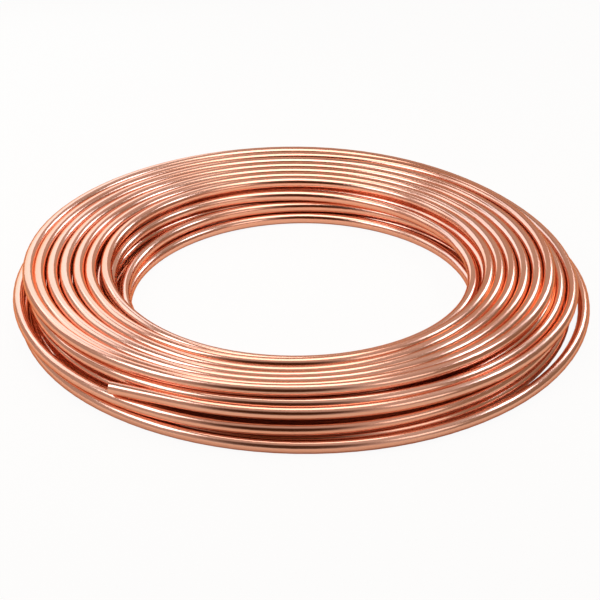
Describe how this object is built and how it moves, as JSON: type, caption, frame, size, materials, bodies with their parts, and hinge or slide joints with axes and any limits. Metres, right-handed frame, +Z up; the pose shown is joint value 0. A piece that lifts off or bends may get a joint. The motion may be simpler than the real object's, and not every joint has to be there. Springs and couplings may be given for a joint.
{
  "type": "copper tube coil",
  "caption": "Flat coil of bright soft copper tube, wound in stacked rows round an open eye, with a square-cut free end lying outside the rows for a fitting.",
  "frame": {"origin": "on the floor under the centre of the coil's eye", "axes": "+Z up along the coil's axis, +Y away from the viewer in the picture, +X to the viewer's right"},
  "size_m": [0.6131, 0.6202, 0.0508],
  "materials": {
    "copper": "satin"
  },
  "bodies": {
    "root": {"copper_tube_coil": "copper"}
  },
  "joints": []
}
